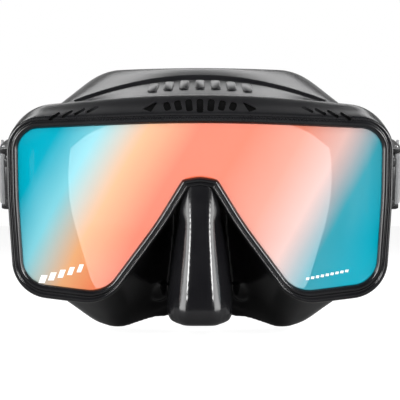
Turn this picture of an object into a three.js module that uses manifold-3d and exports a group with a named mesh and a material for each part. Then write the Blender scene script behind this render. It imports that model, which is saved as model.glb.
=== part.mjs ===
// Single-lens diving mask: a soft silicone skirt with a nose pocket is moulded round one flat
// tempered pane and a hard stiffening ring. A swivelling buckle on each side carries the strap.
// Millimetres, +Z up, -Y is the front. The origin is on the lens's front face, on the centreline,
// midway between the brow edge and the top of the nose notch.
import * as THREE from "three";
import { mergeVertices } from "three/addons/utils/BufferGeometryUtils.js";
import Module from "manifold-3d";

const wasm = await Module();
wasm.setup();

// ---------- driving dimensions ----------
const LENS_HALF_WIDTH = 78.3; // seen width of the pane, at the brow corners
const BRIDGE_HEIGHT = 12; // from the origin up to the brow edge, and down to the nose notch
const LENS_DROP = 60.8; // from the origin down to the pane's lowest edge
const LENS_THICKNESS = 3.8;
const GAP = 0.3; // kept between pieces that touch
const LIP = 1.6; // how far the pane's bevelled edge runs in under the skirt
const RIM_SIDE = 5.2; // width of the rim beside, below and in the notch of the pane
const RIM_BOTTOM = 6.2;
const RIM_NOTCH = 4.4;
const BROW_RISE = 12.8; // height of the sloping brow band above the pane
const BROW_TAPER = 0.36; // how much of the brow band's height is lost by the corners
const BROW_DEPTH = 8.6; // where the brow band ends behind the lens plane
const SKIRT_WALL = 1.8;
const FLANGE = 1.3; // thickness of the flange that seals on the face
const FACE_DEPTH = 44; // from the lens plane to the face, on the centreline
const FACE_CURVE = 0.0063; // the face falls back by this times x squared
const FOREHEAD_RISE = 27; // from the brow edge of the pane up to the top of the seal
const CHEEK_DROP = 20.2; // from the pane's lowest edge down to the lowest cheek
const NOSE_REACH = 13.8; // how far the nose pocket stands out in front of the pane
const NOSE_LENGTH = 61.5; // from the notch down to the floor of the pocket
const BUCKLE_SPAN = 2 * LENS_HALF_WIDTH + 10.4; // between the two swivel pins
const BUCKLE_BACK = 19; // the pins lie this far behind the lens plane
const BUCKLE_HEIGHT = -13.5;
const STRAP_PITCH = THREE.MathUtils.degToRad(18); // the strap rises towards the crown
const STRAP_WIDTH = 22;
const STRAP_THICKNESS = 1.8;
const STRAP_REACH = 187; // how far behind the lens the strap's back lies
const STRAP_RISE = 36;
const ROLLER_RADIUS = 2.2;
const ROLLER_OFFSET = 17; // from the swivel pin back to the roller
const PIN_RADIUS = 1.25;
const STRAP_END = 52; // the strap turns with its buckle as far as this from the pin

// ---------- solids and booleans ----------
function solid(geometry) {
  const bare = (geometry.index ? geometry.toNonIndexed() : geometry.clone());
  for (const name of Object.keys(bare.attributes)) {
    if (name !== "position") bare.deleteAttribute(name);
  }
  const merged = mergeVertices(bare, 1e-4);
  const made = new wasm.Manifold(
    new wasm.Mesh({
      numProp: 3,
      vertProperties: merged.attributes.position.array,
      triVerts: new Uint32Array(merged.index.array),
    }),
  );
  return made;
}

function geometryOf(manifold) {
  const mesh = manifold.getMesh();
  return new THREE.BufferGeometry()
    .setAttribute("position", new THREE.BufferAttribute(mesh.vertProperties, 3))
    .setIndex(new THREE.BufferAttribute(mesh.triVerts, 1));
}

// ---------- outlines ----------
// Half of the pane's seen edge, from the middle of the brow round to the middle of the notch. Each
// corner is [x, z, radius]; between them run the brow, side, bottom, slope and bridge edges.
const LENS_CORNERS = [
  [0, BRIDGE_HEIGHT, 800],
  [LENS_HALF_WIDTH, BRIDGE_HEIGHT - 3.3, 9],
  [LENS_HALF_WIDTH - 0.5, -20, 250],
  [LENS_HALF_WIDTH - 3.1, LENS_DROP * -0.93, 11],
  [LENS_HALF_WIDTH * 0.525, -LENS_DROP, 13],
  [19, -BRIDGE_HEIGHT - 19, 150],
  [7.7, -BRIDGE_HEIGHT - 0.5, 2.6],
  [0, -BRIDGE_HEIGHT + 0.8, 12],
];
const EDGE_KINDS = ["brow", "side", "side", "bottom", "slope", "slope", "bridge"];
const ARC_STEPS = 3;
const EDGE_STEPS = 2;

const line = (a, b) => ({ a, b, dir: b.clone().sub(a).normalize() });

// A half outline as a full loop of corners, mirrored about the centreline.
function mirrored(half) {
  const right = half.map(([x, z, r]) => ({ at: new THREE.Vector2(x, z), r }));
  const left = half.slice(1, -1).reverse();
  return [...right, ...left.map(([x, z, r]) => ({ at: new THREE.Vector2(-x, z), r }))];
}

// The loop with each edge moved out by its own distance, so a rim can be wider at the brow.
function offsetCorners(corners, by) {
  const n = corners.length;
  const kinds = [...EDGE_KINDS, ...[...EDGE_KINDS].reverse()];
  const edges = corners.map((c, i) => {
    const next = corners[(i + 1) % n];
    const edge = line(c.at, next.at);
    const out = new THREE.Vector2(-edge.dir.y, edge.dir.x);
    const shift = by[kinds[i]];
    return { a: edge.a.clone().addScaledVector(out, shift), dir: edge.dir, shift };
  });
  return corners.map((c, i) => {
    const before = edges[(i + n - 1) % n];
    const after = edges[i];
    const cross = before.dir.cross(after.dir);
    const gap = after.a.clone().sub(before.a);
    const along = gap.cross(after.dir) / cross;
    const turn = Math.sign(-cross);
    const r = Math.max(0.6, c.r + (turn * (before.shift + after.shift)) / 2);
    return { at: before.a.clone().addScaledVector(before.dir, along), r };
  });
}

// Points round a loop of corners: an arc at each corner and a few points on each edge.
function rounded(corners) {
  const n = corners.length;
  const arcs = corners.map((c, i) => {
    const into = line(corners[(i + n - 1) % n].at, c.at);
    const away = line(c.at, corners[(i + 1) % n].at);
    const half = Math.acos(THREE.MathUtils.clamp(into.dir.dot(away.dir), -1, 1)) / 2;
    const room = 0.49 * Math.min(into.a.distanceTo(into.b), away.a.distanceTo(away.b));
    const back = Math.min(c.r * Math.tan(half), room);
    const start = c.at.clone().addScaledVector(into.dir, -back);
    const end = c.at.clone().addScaledVector(away.dir, back);
    const curve = new THREE.QuadraticBezierCurve(start, c.at, end);
    return curve.getPoints(ARC_STEPS);
  });
  return arcs.flatMap((arc, i) => {
    const next = arcs[(i + 1) % n][0];
    const last = arc[arc.length - 1];
    const between = [];
    for (let k = 1; k <= EDGE_STEPS; k++) {
      between.push(last.clone().lerp(next, k / (EDGE_STEPS + 1)));
    }
    return [...arc, ...between];
  });
}

const LENS_LOOP = mirrored(LENS_CORNERS);

// The pane's outline moved out, at depth y. brow, bottom and notch may differ from side.
function ring(y, side, { brow = side, bottom = side, notch = side, bridge = notch } = {}) {
  const by = { brow, side, bottom, slope: notch, bridge };
  return rounded(offsetCorners(LENS_LOOP, by)).map((p) => {
    const top = THREE.MathUtils.smoothstep(p.y, -10, BRIDGE_HEIGHT);
    const droop = BROW_TAPER * (brow - side) * (p.x / LENS_HALF_WIDTH) ** 2 * top;
    return new THREE.Vector3(p.x, y, p.y - droop);
  });
}

// A loop from its own corners, at a depth that may follow the face.
function loopOf(half, depth) {
  return rounded(mirrored(half)).map((p) => new THREE.Vector3(p.x, depth(p.x, p.y), p.y));
}

// The loop moved inwards by t in its own plane.
function inset(loop, t, back = 0) {
  const n = loop.length;
  return loop.map((p, i) => {
    const before = loop[(i + n - 1) % n];
    const after = loop[(i + 1) % n];
    const along = new THREE.Vector2(after.x - before.x, after.z - before.z).normalize();
    return new THREE.Vector3(p.x + along.y * t, p.y + back, p.z - along.x * t);
  });
}

// ---------- lofts ----------
// A closed solid through loops with equal counts: capped at both ends, or joined into a ring.
function loft(loops, closed = false) {
  const n = loops[0].length;
  const points = loops.flat();
  const faces = [];
  const pairs = closed ? loops.length : loops.length - 1;
  for (let k = 0; k < pairs; k++) {
    for (let i = 0; i < n; i++) {
      const a = k * n + i;
      const b = k * n + ((i + 1) % n);
      const c = ((k + 1) % loops.length) * n + i;
      const d = ((k + 1) % loops.length) * n + ((i + 1) % n);
      faces.push([a, b, d], [a, d, c]);
    }
  }
  if (!closed) {
    for (const [k, flip] of [[0, true], [loops.length - 1, false]]) {
      const flat = flatten(loops[k]);
      for (const [a, b, c] of THREE.ShapeUtils.triangulateShape(flat, [])) {
        const wound = THREE.ShapeUtils.isClockWise(flat) ? [a, c, b] : [a, b, c];
        const [p, q, r] = wound.map((v) => v + k * n);
        faces.push(flip ? [p, r, q] : [p, q, r]);
      }
    }
  }
  const made = indexed(points, faces);
  return volumeOf(made) < 0 ? indexed(points, faces.map(([a, b, c]) => [a, c, b])) : made;
}

// A loop's points in the plane that it faces most.
function flatten(loop) {
  const area = new THREE.Vector3();
  loop.forEach((p, i) => area.add(p.clone().cross(loop[(i + 1) % loop.length])));
  const size = [Math.abs(area.x), Math.abs(area.y), Math.abs(area.z)];
  const most = size.indexOf(Math.max(...size));
  const pick = [(p) => [p.y, p.z], (p) => [p.z, p.x], (p) => [p.x, p.y]][most];
  return loop.map((p) => new THREE.Vector2(...pick(p)));
}

function indexed(points, faces) {
  const flat = points.flatMap((p) => [p.x, p.y, p.z]);
  return new THREE.BufferGeometry()
    .setAttribute("position", new THREE.Float32BufferAttribute(flat, 3))
    .setIndex(faces.flat());
}

function volumeOf(geometry) {
  const at = geometry.attributes.position;
  const index = geometry.index.array;
  const [a, b, c] = [0, 1, 2].map(() => new THREE.Vector3());
  let sum = 0;
  for (let i = 0; i < index.length; i += 3) {
    a.fromBufferAttribute(at, index[i]);
    b.fromBufferAttribute(at, index[i + 1]);
    c.fromBufferAttribute(at, index[i + 2]);
    sum += a.dot(b.cross(c));
  }
  return sum;
}

// Loops on a smooth surface through the stations, spoke by spoke.
function smoothed(stations, steps) {
  const spokes = stations[0].map((_, i) =>
    new THREE.CatmullRomCurve3(stations.map((s) => s[i]), false, "centripetal").getPoints(steps),
  );
  return Array.from({ length: steps + 1 }, (_, k) => spokes.map((s) => s[k]));
}

// ---------- lens and stiffening ring ----------
const BEVEL = 1;

function lens() {
  return loft([
    ring(0, 0),
    ring(BEVEL, LIP),
    ring(LENS_THICKNESS - 0.4, LIP),
    ring(LENS_THICKNESS, LIP - 0.4),
  ]);
}

const RING_INNER = LIP + 2 * GAP; // the ring's wall stands round the pane's edge
const RING_WALL = 1.4;
const RING_FRONT = 1.1;
const RING_BACK = 7;
const WING = 10.8; // how far the ring's wing stands up under the brow band

function stiffener() {
  const outer = RING_INNER + RING_WALL;
  const ledge = LENS_THICKNESS + GAP;
  return loft(
    [
      ring(RING_FRONT, RING_INNER),
      ring(RING_FRONT, outer, { brow: RING_INNER + 0.8 }),
      ring(RING_BACK, outer, { brow: WING }),
      ring(RING_BACK + 0.9, outer, { brow: WING }),
      ring(RING_BACK + 0.9, outer - 0.9, { brow: WING - 1.2 }),
      ring(ledge + 1.4, RING_INNER),
      ring(ledge + 1.4, 0.8),
      ring(ledge, 0.8),
      ring(ledge, RING_INNER),
    ],
    true,
  );
}

// ---------- skirt ----------
const faceAt = (x) => FACE_DEPTH + FACE_CURVE * x * x;
// The seal's outermost fold, and the inner edge of its flange: [x, z, radius] as for the pane.
const SEAL_TOP = BRIDGE_HEIGHT + FOREHEAD_RISE;
const SEAL_LOW = -LENS_DROP - CHEEK_DROP;
const SEAL_FOLD = [
  [0, SEAL_TOP, 500],
  [LENS_HALF_WIDTH * 0.73, SEAL_TOP - 0.5, 26],
  [LENS_HALF_WIDTH * 0.888, -14, 140],
  [LENS_HALF_WIDTH * 0.67, SEAL_LOW + 4, 24],
  [LENS_HALF_WIDTH * 0.485, SEAL_LOW, 16],
  [LENS_HALF_WIDTH * 0.268, SEAL_LOW + 6.5, 24],
  [LENS_HALF_WIDTH * 0.13, SEAL_LOW + 8, 12],
  [0, SEAL_LOW + 8.5, 60],
];
const SEAL_OPENING = [
  [0, SEAL_TOP - 15, 500],
  [LENS_HALF_WIDTH * 0.728, SEAL_TOP - 16, 22],
  [LENS_HALF_WIDTH * 0.811, -17, 80],
  [LENS_HALF_WIDTH * 0.626, SEAL_LOW + 17.5, 24],
  [LENS_HALF_WIDTH * 0.46, SEAL_LOW + 10.5, 14],
  [LENS_HALF_WIDTH * 0.281, SEAL_LOW + 14.5, 24],
  [LENS_HALF_WIDTH * 0.13, SEAL_LOW + 16, 12],
  [0, SEAL_LOW + 16.5, 60],
];
const RIM_BACK = 9.6;

function between(a, b, share, depth) {
  return a.map((p, i) => {
    const q = p.clone().lerp(b[i], share);
    return new THREE.Vector3(q.x, depth ?? q.y, q.z);
  });
}

const fold = loopOf(SEAL_FOLD, faceAt);
const opening = loopOf(SEAL_OPENING, (x) => faceAt(x) - 4);
const neck = ring(15, -1, { brow: 9.5, bottom: 2.5, notch: 3.5 });

function skirtOuter() {
  const rim = [
    ring(-0.3, -3),
    ring(-0.4, 0.7),
    ring(-1.6, 2.1),
    ring(-1, 3.2, { brow: 3.6 }),
    ring(-1.3, 4.2, { brow: 4.6, notch: 3.6 }),
    ring(0.6, RIM_SIDE - 0.2, { brow: 6, bottom: RIM_BOTTOM - 0.4, notch: RIM_NOTCH }),
    ring(3.5, RIM_SIDE, { brow: 8.7, bottom: RIM_BOTTOM, notch: RIM_NOTCH }),
    ring(BROW_DEPTH, RIM_SIDE - 0.6, { brow: BROW_RISE, bottom: RIM_BOTTOM - 0.6, notch: RIM_NOTCH }),
  ];
  const back = ring(RIM_BACK + 1, 2, { brow: BROW_RISE - 1.6, bottom: 4, notch: 4 });
  const curl = between(fold, opening, 0.3).map((p) => p.setY(p.y + 2.2));
  const hole = inset(opening, 0.8);
  const wall = smoothed([back, neck, between(neck, fold, 0.55), fold, curl, hole], 11);
  return loft([...rim, ...wall]);
}

function skirtInner() {
  const behind = ring(RIM_BACK, 1.2);
  const start = ring(LENS_THICKNESS - 0.6, 1.2);
  const mid = inset(between(neck, fold, 0.55), SKIRT_WALL, SKIRT_WALL);
  const deep = inset(fold, SKIRT_WALL, -1.4);
  const curl = between(fold, opening, 0.4).map((p) => p.setY(p.y + 0.4));
  const edge = opening.map((p) => p.clone().setY(p.y - FLANGE));
  const through = opening.map((p) => p.clone().setY(p.y + 60));
  const front = inset(neck, SKIRT_WALL, SKIRT_WALL);
  const wall = smoothed([behind, front, mid, deep, curl, edge], 10);
  return loft([start, ...wall, through]);
}

// The space in the rim for the pane's edge and the stiffening ring, open towards the window.
function rimGroove() {
  const edge = LIP + GAP;
  const outer = RING_INNER + RING_WALL + GAP;
  return loft([
    ring(-0.2, GAP),
    ring(BEVEL - 0.15, edge),
    ring(BEVEL - 0.6, outer, { brow: RING_INNER + 0.8 + GAP }),
    ring(RING_BACK - 0.2, outer, { brow: WING + GAP }),
    ring(RING_BACK + 0.9 + GAP, outer, { brow: WING + GAP }),
    ring(RING_BACK + 0.9 + GAP, 0.5),
  ]);
}

// The nose pocket: sections stacked from the notch down, a flat ridge with bevelled flanks.
// Each is [share of the length, share of the reach, ridge half-width, flank half-width].
const NOSE_SECTIONS = [
  [0, -0.03, 3.1, 4.6],
  [0.17, 0.25, 3.4, 7.4],
  [0.4, 0.55, 3.7, 9.4],
  [0.63, 0.81, 4.2, 11.2],
  [0.86, 1, 4.8, 12.8],
  [0.93, 0.99, 5, 12.4],
  [1, 0.82, 4.4, 8.8],
];
const NOSE_TOP = -BRIDGE_HEIGHT - 1.5;
const NOSE_BEVEL = 2.5;

// The pocket's outside, or the same shape moved in by the thickness of its skin.
function nose(skin, back) {
  const spine = (pick) =>
    new THREE.CatmullRomCurve3(
      NOSE_SECTIONS.map((section) => {
        const z = NOSE_TOP - section[0] * NOSE_LENGTH;
        return new THREE.Vector3(section[pick], -section[1] * NOSE_REACH, z);
      }),
      false,
      "centripetal",
    );
  const [ridge, flanks] = [spine(2), spine(3)];
  const drop = skin > 0 ? RIM_NOTCH : 0;
  const steps = 14;
  const loops = [];
  for (let k = 0; k <= steps; k++) {
    const at = flanks.getPoint(k / steps);
    const half = ridge.getPoint(k / steps).x - skin * 0.3;
    const front = at.y + skin;
    const flank = at.x - skin;
    const z = at.z + THREE.MathUtils.lerp(-drop, skin, k / steps);
    const side = [
      [half, front],
      [half + NOSE_BEVEL * 0.9, front + NOSE_BEVEL],
      [flank, front + 9],
      [flank + 1.2, front + 18],
      [flank + 1.5, back],
    ];
    const right = side.map(([x, y]) => new THREE.Vector3(x, y, z));
    const left = [...side].reverse().map(([x, y]) => new THREE.Vector3(-x, y, z));
    loops.push([...right, ...left]);
  }
  return loft(loops);
}

// Comb slots that bare the stiffening ring's wing through the brow band, fanned about the middle.
const COMB_SLOTS = 9;
const COMB_PITCH = 4.7;
const COMB_WIDTH = 3.3;
const COMB_FAN = 0.09; // radians between neighbours
const COMB_TOP = BRIDGE_HEIGHT + 10.6;

function combSlots() {
  const slots = [];
  const last = (COMB_SLOTS - 1) / 2;
  for (let step = -last; step <= last; step++) {
    const wide = Math.abs(step) === last ? 1.7 : 1;
    const height = 5.8 - 0.75 * Math.abs(step);
    const slot = new THREE.BoxGeometry(COMB_WIDTH * wide, RING_BACK + 0.1 + 5, height);
    slot.rotateY(step * COMB_FAN);
    const drop = 0.16 * step * step + height / 2;
    const x = step * COMB_PITCH * (wide > 1 ? 1.07 : 1);
    slot.translate(x, (RING_BACK + 0.1 - 5) / 2, COMB_TOP - drop);
    slots.push(slot);
  }
  return slots;
}

// ---------- buckle, in its own frame: x out from the head, y back along the strap, z up the pin ----
const EAR_RADIUS = 2.9;
const EAR_HALF = 10.9; // the base's two ears end here
const BARREL_HALF = 7.6;
const CHEEK_INNER = STRAP_WIDTH / 2 + 0.9;
const CHEEK_WALL = 2.2;
const CHEEK_HALF = CHEEK_INNER + CHEEK_WALL;
const PLATE_OUT = -EAR_RADIUS - 0.5; // outer face of the base's plate
const PLATE_WALL = 1.6;
const [FOOT_FRONT, FOOT_BACK, FOOT_HALF] = [-6, 3, 12]; // the foot plate, ahead and behind the pin
const TRUNNION_RADIUS = 1.4;
const CHEEK_END = TRUNNION_RADIUS + 2.6; // radius of the cheek's end round the roller's trunnion
const LEVER_CLEAR = 0.6; // between the strap's outer face and the lever
const LEVER_IN = ROLLER_RADIUS + GAP + STRAP_THICKNESS + LEVER_CLEAR; // the lever's inner face
const TOOTH = 0.45; // how far the lever's tooth stands in from its inner face
const LEVER_PIVOT = [LEVER_IN - 1.3, 7.6]; // out, back
const LEVER_PIN_RADIUS = 0.8;
const WEB_OUT = LEVER_IN - 4.2; // outer face of the frame's web, under the lever's heel
const HEEL_IN = LEVER_IN - 2.3; // inner face of the heel
const RUNNING = 0.1; // radial clearance of what turns

// An outline given as [x, y] points or made by a function, extruded from z0 to z1.
function slab(shape, z0, z1) {
  const made = new THREE.ExtrudeGeometry(shape, {
    depth: z1 - z0,
    bevelEnabled: false,
    curveSegments: 6,
  });
  return solid(made.translate(0, 0, z0));
}

const polygon = (points) => new THREE.Shape(points.map(([x, y]) => new THREE.Vector2(x, y)));

function rod(radius, z0, z1, [x, y] = [0, 0], sides = 20) {
  const made = new THREE.CylinderGeometry(radius, radius, z1 - z0, sides);
  return solid(made.rotateX(Math.PI / 2).translate(x, y, (z0 + z1) / 2));
}

// The tool for a bore through the whole height of the buckle.
const bore = (radius, at, sides) => rod(radius, -CHEEK_HALF - 1, CHEEK_HALF + 1, at, sides);

// A pill of material round two points, such as a lug that runs from a plate out to a pin.
function lugShape([x0, y0], [x1, y1], radius) {
  const turn = Math.atan2(y1 - y0, x1 - x0);
  const shape = new THREE.Shape();
  shape.absarc(x1, y1, radius, turn - Math.PI / 2, turn + Math.PI / 2, false);
  shape.absarc(x0, y0, radius, turn + Math.PI / 2, turn + (Math.PI * 3) / 2, false);
  return shape;
}

const union = (parts) => parts.reduce((a, b) => a.add(b));

function footSolid(grow) {
  const plate = slab(
    polygon([
      [PLATE_OUT - PLATE_WALL - grow, FOOT_FRONT - grow],
      [PLATE_OUT + grow, FOOT_FRONT - grow],
      [PLATE_OUT + grow, FOOT_BACK + grow],
      [PLATE_OUT - PLATE_WALL - grow, FOOT_BACK + grow],
    ]),
    -FOOT_HALF - grow,
    FOOT_HALF + grow,
  );
  const neckX = PLATE_OUT - PLATE_WALL;
  const stem = slab(
    polygon([
      [neckX - 2.4, -3.6 - grow],
      [neckX + 0.2, -3.6 - grow],
      [neckX + 0.2, 0.8 + grow],
      [neckX - 2.4, 0.8 + grow],
    ]),
    -5.5 - grow,
    5.5 + grow,
  );
  const head = slab(
    polygon([
      [neckX - 2.8 - grow, -5 - grow],
      [neckX - 1.5 + grow, -5 - grow],
      [neckX - 1.5 + grow, 2.2 + grow],
      [neckX - 2.8 - grow, 2.2 + grow],
    ]),
    -7.5 - grow,
    7.5 + grow,
  );
  return union([plate, stem, head]);
}

function buckleBase() {
  const ear = lugShape([PLATE_OUT, -1.5], [0, 0], EAR_RADIUS);
  const ears = [
    slab(ear, BARREL_HALF + GAP, EAR_HALF),
    slab(ear, -EAR_HALF, -BARREL_HALF - GAP),
  ];
  const cut = slab(
    polygon([[-20, -20], [PLATE_OUT - PLATE_WALL, -20], [PLATE_OUT - PLATE_WALL, 20], [-20, 20]]),
    -EAR_HALF - 1,
    EAR_HALF + 1,
  );
  const trimmed = union(ears).subtract(cut);
  return union([footSolid(0), trimmed]).subtract(bore(PIN_RADIUS + GAP));
}

// The silicone boss on the skirt's side that grips the base's foot.
const BOSS_DEPTH = 4.4;

function bossSolid() {
  const face = PLATE_OUT - PLATE_WALL - GAP;
  const shape = new THREE.Shape();
  const [low, high, front, back] = [face - BOSS_DEPTH, face, FOOT_FRONT - 3, FOOT_BACK + 4];
  shape.moveTo(low, front - 2);
  shape.lineTo(high - 1, front);
  shape.quadraticCurveTo(high, front, high, front + 1);
  shape.lineTo(high, back - 1);
  shape.quadraticCurveTo(high, back, high - 1, back);
  shape.lineTo(low, back + 3);
  return slab(shape, -FOOT_HALF - 1.5, FOOT_HALF + 1.5);
}

function swivelPin() {
  const head = rod(PIN_RADIUS + 0.7, EAR_HALF + GAP, EAR_HALF + GAP + 0.8);
  const shank = rod(PIN_RADIUS, -EAR_HALF - 0.6, EAR_HALF + GAP + 0.2);
  return union([shank, head]);
}

function buckleFrame() {
  const barrel = rod(EAR_RADIUS, -BARREL_HALF, BARREL_HALF);
  const hub = slab(
    polygon([[-2.2, 1.4], [WEB_OUT, 1.2], [WEB_OUT, 6], [-2.4, 6], [-2.6, 4.2]]),
    -BARREL_HALF,
    BARREL_HALF,
  );
  const web = slab(
    polygon([[-2.6, 3.9], [WEB_OUT, 3.9], [WEB_OUT, 6.4], [-2.6, 6.4]]),
    -CHEEK_HALF,
    CHEEK_HALF,
  );
  const cheek = new THREE.Shape();
  const nose = LEVER_IN + 0.3;
  cheek.moveTo(-2.6, 3.9);
  cheek.lineTo(nose - 2.2, 3.9);
  cheek.quadraticCurveTo(nose, 4.2, nose, 7.6);
  cheek.lineTo(nose, 10);
  cheek.quadraticCurveTo(nose - 0.4, 14, CHEEK_END, ROLLER_OFFSET);
  cheek.absarc(0, ROLLER_OFFSET, CHEEK_END, 0, Math.PI, false);
  cheek.lineTo(-CHEEK_END, 9);
  cheek.quadraticCurveTo(-3.6, 5, -2.6, 3.9);
  const cheeks = [
    slab(cheek, CHEEK_INNER, CHEEK_HALF),
    slab(cheek, -CHEEK_HALF, -CHEEK_INNER),
  ];
  return union([barrel, hub, web, ...cheeks])
    .subtract(bore(PIN_RADIUS + RUNNING))
    .subtract(bore(TRUNNION_RADIUS + RUNNING, [0, ROLLER_OFFSET]))
    .subtract(bore(LEVER_PIN_RADIUS + RUNNING, LEVER_PIVOT, 12));
}

function roller() {
  const body = rod(ROLLER_RADIUS, -STRAP_WIDTH / 2 - 0.5, STRAP_WIDTH / 2 + 0.5, [0, ROLLER_OFFSET]);
  return body.add(rod(TRUNNION_RADIUS, -CHEEK_HALF, CHEEK_HALF, [0, ROLLER_OFFSET]));
}

const leverPin = () => rod(LEVER_PIN_RADIUS, -CHEEK_HALF - 0.3, CHEEK_HALF + 0.3, LEVER_PIVOT, 12);

// The spring-loaded lever: its tooth bites on the strap over the roller, its tail is the thumb tab
// and its heel stands on the leaf spring.
function lever() {
  const x = LEVER_IN;
  const shape = new THREE.Shape();
  shape.moveTo(HEEL_IN, 4);
  shape.quadraticCurveTo(HEEL_IN, 3.5, HEEL_IN + 0.7, 3.5);
  shape.lineTo(x - 0.3, 3.8);
  shape.quadraticCurveTo(x + 1.1, 5.4, x + 1.2, 8.4);
  shape.lineTo(x + 1.5, 20);
  shape.quadraticCurveTo(x + 1.6, 24, x + 2.3, 27);
  shape.lineTo(x + 0.9, 27.2);
  shape.quadraticCurveTo(x + 0.1, 24, x, 20.5);
  shape.lineTo(x - TOOTH, 18.4);
  shape.lineTo(x, 16.8);
  shape.lineTo(x, 10);
  shape.quadraticCurveTo(x - 0.5, 9, x - 2.1, 8.9);
  shape.quadraticCurveTo(x - 2.7, 8.2, x - 2.7, 7.4);
  const half = CHEEK_INNER - GAP;
  return slab(shape, -half, half).subtract(bore(LEVER_PIN_RADIUS + RUNNING, LEVER_PIVOT, 12));
}

// A bowed steel leaf that lies on the web and pushes the heel outwards.
function leafSpring() {
  const thick = 0.35;
  const foot = WEB_OUT + GAP;
  const crown = HEEL_IN - 0.95;
  const bow = new THREE.QuadraticBezierCurve(
    new THREE.Vector2(foot, 4.1),
    new THREE.Vector2(2 * crown - foot, 5.1),
    new THREE.Vector2(foot, 6.1),
  ).getPoints(8);
  const outside = bow.map((p) => [p.x + thick, p.y]).reverse();
  return slab(polygon([...bow.map((p) => [p.x, p.y]), ...outside]), -4, 4);
}

// The strap's turned end: in along the head side, round the roller and back as the tail.
const WRAP = ROLLER_RADIUS + GAP + STRAP_THICKNESS / 2;
const TAIL_END = 45;
const TAIL_SEAT = -WRAP + STRAP_THICKNESS + GAP;

function strapEnd() {
  const spot = (x, y) => new THREE.Vector3(x, y, 0);
  const steps = 12;
  const points = [spot(-WRAP, STRAP_END), spot(-WRAP, 35)];
  for (let i = 0; i <= steps; i++) {
    const turn = Math.PI + (Math.PI * i) / steps;
    points.push(spot(WRAP * Math.cos(turn), ROLLER_OFFSET + WRAP * Math.sin(turn)));
  }
  const drop = new THREE.CubicBezierCurve3(
    spot(WRAP, ROLLER_OFFSET + 1),
    spot(WRAP, ROLLER_OFFSET + 8),
    spot(TAIL_SEAT, 23),
    spot(TAIL_SEAT, 31),
  );
  points.push(...drop.getPoints(8), spot(TAIL_SEAT, TAIL_END));
  const offset = (side) =>
    points.map((p, i) => {
      const a = points[Math.max(0, i - 1)];
      const b = points[Math.min(points.length - 1, i + 1)];
      const along = b.clone().sub(a).normalize();
      const by = (side * STRAP_THICKNESS) / 2;
      return [p.x + along.y * by, p.y - along.x * by];
    });
  return slab(polygon([...offset(1), ...offset(-1).reverse()]), -STRAP_WIDTH / 2, STRAP_WIDTH / 2);
}

// The loop that keeps the tail down on the strap.
const KEEPER_START = 32;
const KEEPER_LENGTH = 5;

function keeper() {
  const wall = 1.3;
  const [low, high] = [-WRAP - STRAP_THICKNESS / 2 - GAP, TAIL_SEAT + STRAP_THICKNESS / 2 + GAP];
  const end = KEEPER_START + KEEPER_LENGTH;
  const box = (grow, y0, y1) =>
    slab(
      polygon([[low - grow, y0], [high + grow, y0], [high + grow, y1], [low - grow, y1]]),
      -STRAP_WIDTH / 2 - GAP - grow,
      STRAP_WIDTH / 2 + GAP + grow,
    );
  return box(wall, KEEPER_START, end).subtract(box(0, KEEPER_START - 1, end + 1));
}

// ---------- strap ----------
const PIN_X = BUCKLE_SPAN / 2;

// Where a point of the right buckle's frame lies in the part's frame.
function placed(x, y, z) {
  return new THREE.Vector3(x, y, z)
    .applyAxisAngle(new THREE.Vector3(1, 0, 0), STRAP_PITCH)
    .add(new THREE.Vector3(PIN_X, BUCKLE_BACK, BUCKLE_HEIGHT));
}

const STRAP_BACK_WIDTH = 24;
const STRAP_SLOT = 3.6;
// The run of each half, as shares of the way out, back and up from the buckle to the crown.
const STRAP_STATIONS = [
  [0.946, 0.36, 0.2],
  [0.85, 0.583, 0.34],
  [0.695, 0.77, 0.71],
  [0.431, 0.923, 0.94],
  [0, 1, 1],
];

// Sections of the strap from the right end round to the left, each a rectangle across its run.
function strapSections(width, thickness, from, to, steps) {
  const start = placed(-WRAP, STRAP_END + 0.6, 0);
  const next = placed(-WRAP, STRAP_END + 14, 0);
  const stations = STRAP_STATIONS.map(([x, y, z]) => {
    const back = THREE.MathUtils.lerp(start.y, STRAP_REACH, y);
    return new THREE.Vector3(PIN_X * x, back, THREE.MathUtils.lerp(start.z, STRAP_RISE, z));
  });
  const half = [start, next, ...stations];
  const back = half.slice(0, -1).reverse();
  const left = back.map((p) => new THREE.Vector3(-p.x, p.y, p.z));
  const path = new THREE.CatmullRomCurve3([...half, ...left], false, "centripetal");
  const leaning = new THREE.Vector3(0, -Math.sin(STRAP_PITCH), Math.cos(STRAP_PITCH));
  const loops = [];
  for (let k = 0; k <= steps; k++) {
    const t = THREE.MathUtils.lerp(from, to, k / steps);
    const at = path.getPointAt(t);
    const middle = 1 - Math.abs(2 * t - 1);
    const along = path.getTangentAt(t);
    const up = leaning.clone().lerp(new THREE.Vector3(0, 0, 1), Math.min(1, middle * 1.6));
    up.addScaledVector(along, -up.dot(along)).normalize();
    const out = along.clone().cross(up).normalize();
    const high = width(middle) / 2;
    loops.push(
      [[1, 1], [-1, 1], [-1, -1], [1, -1]].map(([a, b]) =>
        at.clone().addScaledVector(out, (a * thickness) / 2).addScaledVector(up, b * high),
      ),
    );
  }
  return loops;
}

function strapBand() {
  const widen = (m) =>
    THREE.MathUtils.lerp(STRAP_WIDTH, STRAP_BACK_WIDTH, THREE.MathUtils.smoothstep(m, 0.3, 0.85));
  const band = solid(loft(strapSections(widen, STRAP_THICKNESS, 0, 1, 60)));
  const slot = (m) => STRAP_SLOT * Math.min(1, 0.25 + m * 0.75);
  const cut = solid(loft(strapSections(slot, STRAP_THICKNESS * 3, 0.34, 0.66, 20)));
  return band.subtract(cut);
}

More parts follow.
